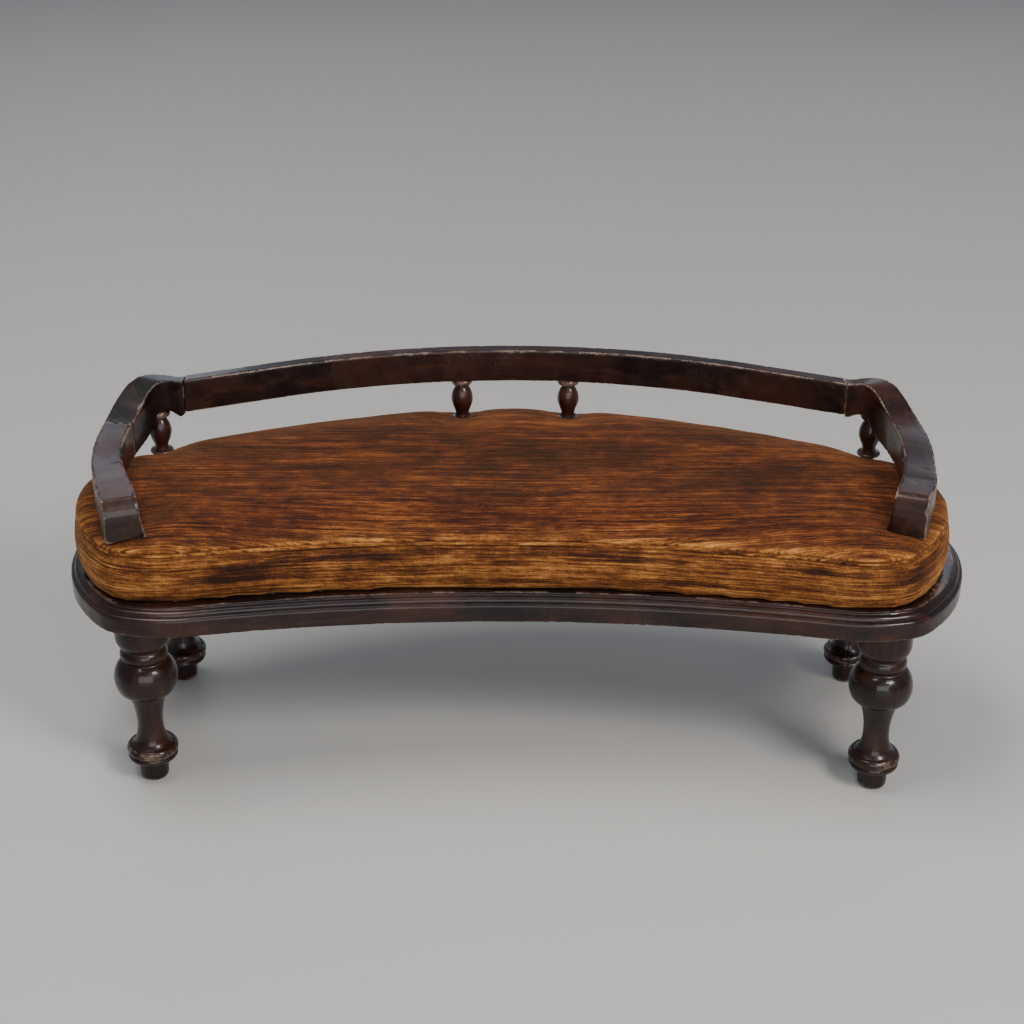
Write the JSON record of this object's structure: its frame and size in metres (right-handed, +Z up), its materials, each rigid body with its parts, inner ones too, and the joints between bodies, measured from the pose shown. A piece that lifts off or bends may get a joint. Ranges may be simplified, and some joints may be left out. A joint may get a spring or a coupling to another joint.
{
  "type": "kneeling bench",
  "caption": "Low bowed bench with turned legs, a moulded frame, a velvet seat pad and a low gallery of curved arms, top rail and turned spindles, for kneeling or sitting.",
  "frame": {"origin": "on the floor under the middle of the bounding box", "axes": "+X to the sitter's or kneeler's right as seen from the hollow front, +Y towards the bowed back and the gallery rail, +Z up"},
  "size_m": [0.828, 0.3417, 0.3204],
  "materials": {
    "frame_wood": "dark stained hardwood under old satin shellac",
    "leg_wood": "dark stained turned hardwood under old satin shellac",
    "gallery_wood": "dark stained hardwood, satin, worn on its edges",
    "spindle_wood": "dark stained turned hardwood, satin",
    "velvet": "worn golden brown velvet, streaked along the nap",
    "dowel_wood": "bare beech",
    "screw_steel": "dull wood screw",
    "tack_steel": "blued tack",
    "webbing": "woven jute strap",
    "hessian": "coarse open weave",
    "stuffing": "felted fibre"
  },
  "bodies": {
    "root": {"front_rail": "frame_wood", "back_rail": "frame_wood", "left_end_board": "frame_wood", "right_end_board": "frame_wood", "front_left_leg": "leg_wood", "front_right_leg": "leg_wood", "back_left_leg": "leg_wood", "back_right_leg": "leg_wood", "gallery_rail": "gallery_wood", "right_arm": "gallery_wood", "left_arm": "gallery_wood", "left_arm_corner": "gallery_wood", "spindle_middle_left": "spindle_wood", "spindle_middle_right": "spindle_wood", "spindle_end_left": "spindle_wood", "spindle_end_right": "spindle_wood", "velvet_top": "velvet", "velvet_border": "velvet", "piping": "velvet", "rail_dowels": "dowel_wood", "arm_rail_dowels": "dowel_wood", "arm_foot_dowels": "dowel_wood", "arm_foot_screws": "screw_steel", "webbing_long": "webbing", "webbing_cross": "webbing", "webbing_tacks": "tack_steel", "cover_tacks": "tack_steel", "hessian": "hessian", "stuffing": "stuffing"}
  },
  "joints": []
}
